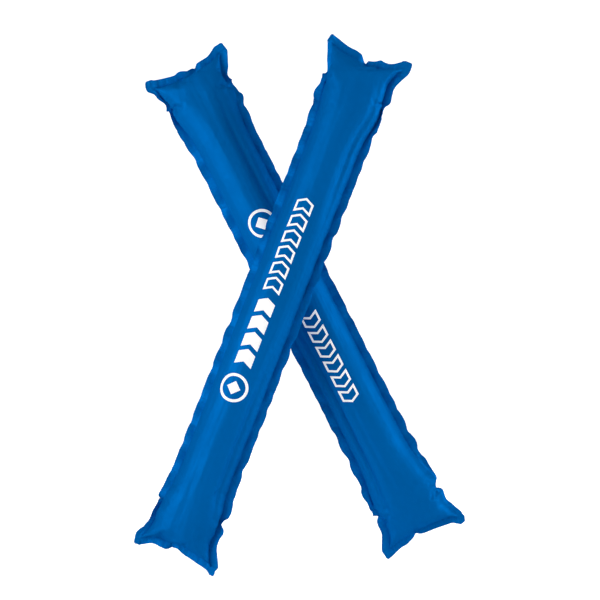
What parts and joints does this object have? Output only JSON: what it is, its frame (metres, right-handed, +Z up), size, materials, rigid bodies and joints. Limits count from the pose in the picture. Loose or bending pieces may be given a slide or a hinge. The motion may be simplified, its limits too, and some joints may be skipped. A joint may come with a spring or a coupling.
{
  "type": "inflatable cheering sticks",
  "caption": "Pair of long inflatable cheering sticks, crossed: welded film tubes with flat flanges, eared ends, straw valves and a white chevron print.",
  "frame": {"origin": "on the floor under the middle of the pair's bounding box, at its lowest ear tip", "axes": "+Z up, +X to the right as seen from the printed faces, -Y out of the printed faces"},
  "size_m": [0.3584, 0.103, 0.5788],
  "materials": {
    "film": "glossy polyethylene film",
    "valve_film": "milky clear film",
    "ink": "white film ink"
  },
  "bodies": {
    "right_stick": {"right_stick_face_film": "film", "right_stick_back_film": "film", "right_stick_valve_seat": "valve_film", "right_stick_print": "ink"},
    "right_flap": {"right_stick_valve_flap": "valve_film"},
    "left_stick": {"left_stick_face_film": "film", "left_stick_back_film": "film", "left_stick_valve_seat": "valve_film", "left_stick_print": "ink"},
    "left_flap": {"left_stick_valve_flap": "valve_film"}
  },
  "joints": [
    {"name": "left_stick_clap", "type": "hinge", "parent": "right_stick", "child": "left_stick", "pos_m": [-0.11445, -0.02571, 0.07264], "axis": [0.9323, 0, -0.3616], "range_deg": [0, 60]},
    {"name": "left_flap_lift", "type": "hinge", "parent": "left_stick", "child": "left_flap", "pos_m": [-0.10096, -0.00194, 0.09101], "axis": [0.9046, -0.2419, -0.3509], "range_deg": [0, 10]},
    {"name": "right_flap_lift", "type": "hinge", "parent": "right_stick", "child": "right_flap", "pos_m": [-0.08854, 0.05032, 0.48127], "axis": [-0.8844, 0.1219, -0.4506], "range_deg": [0, 10]}
  ]
}
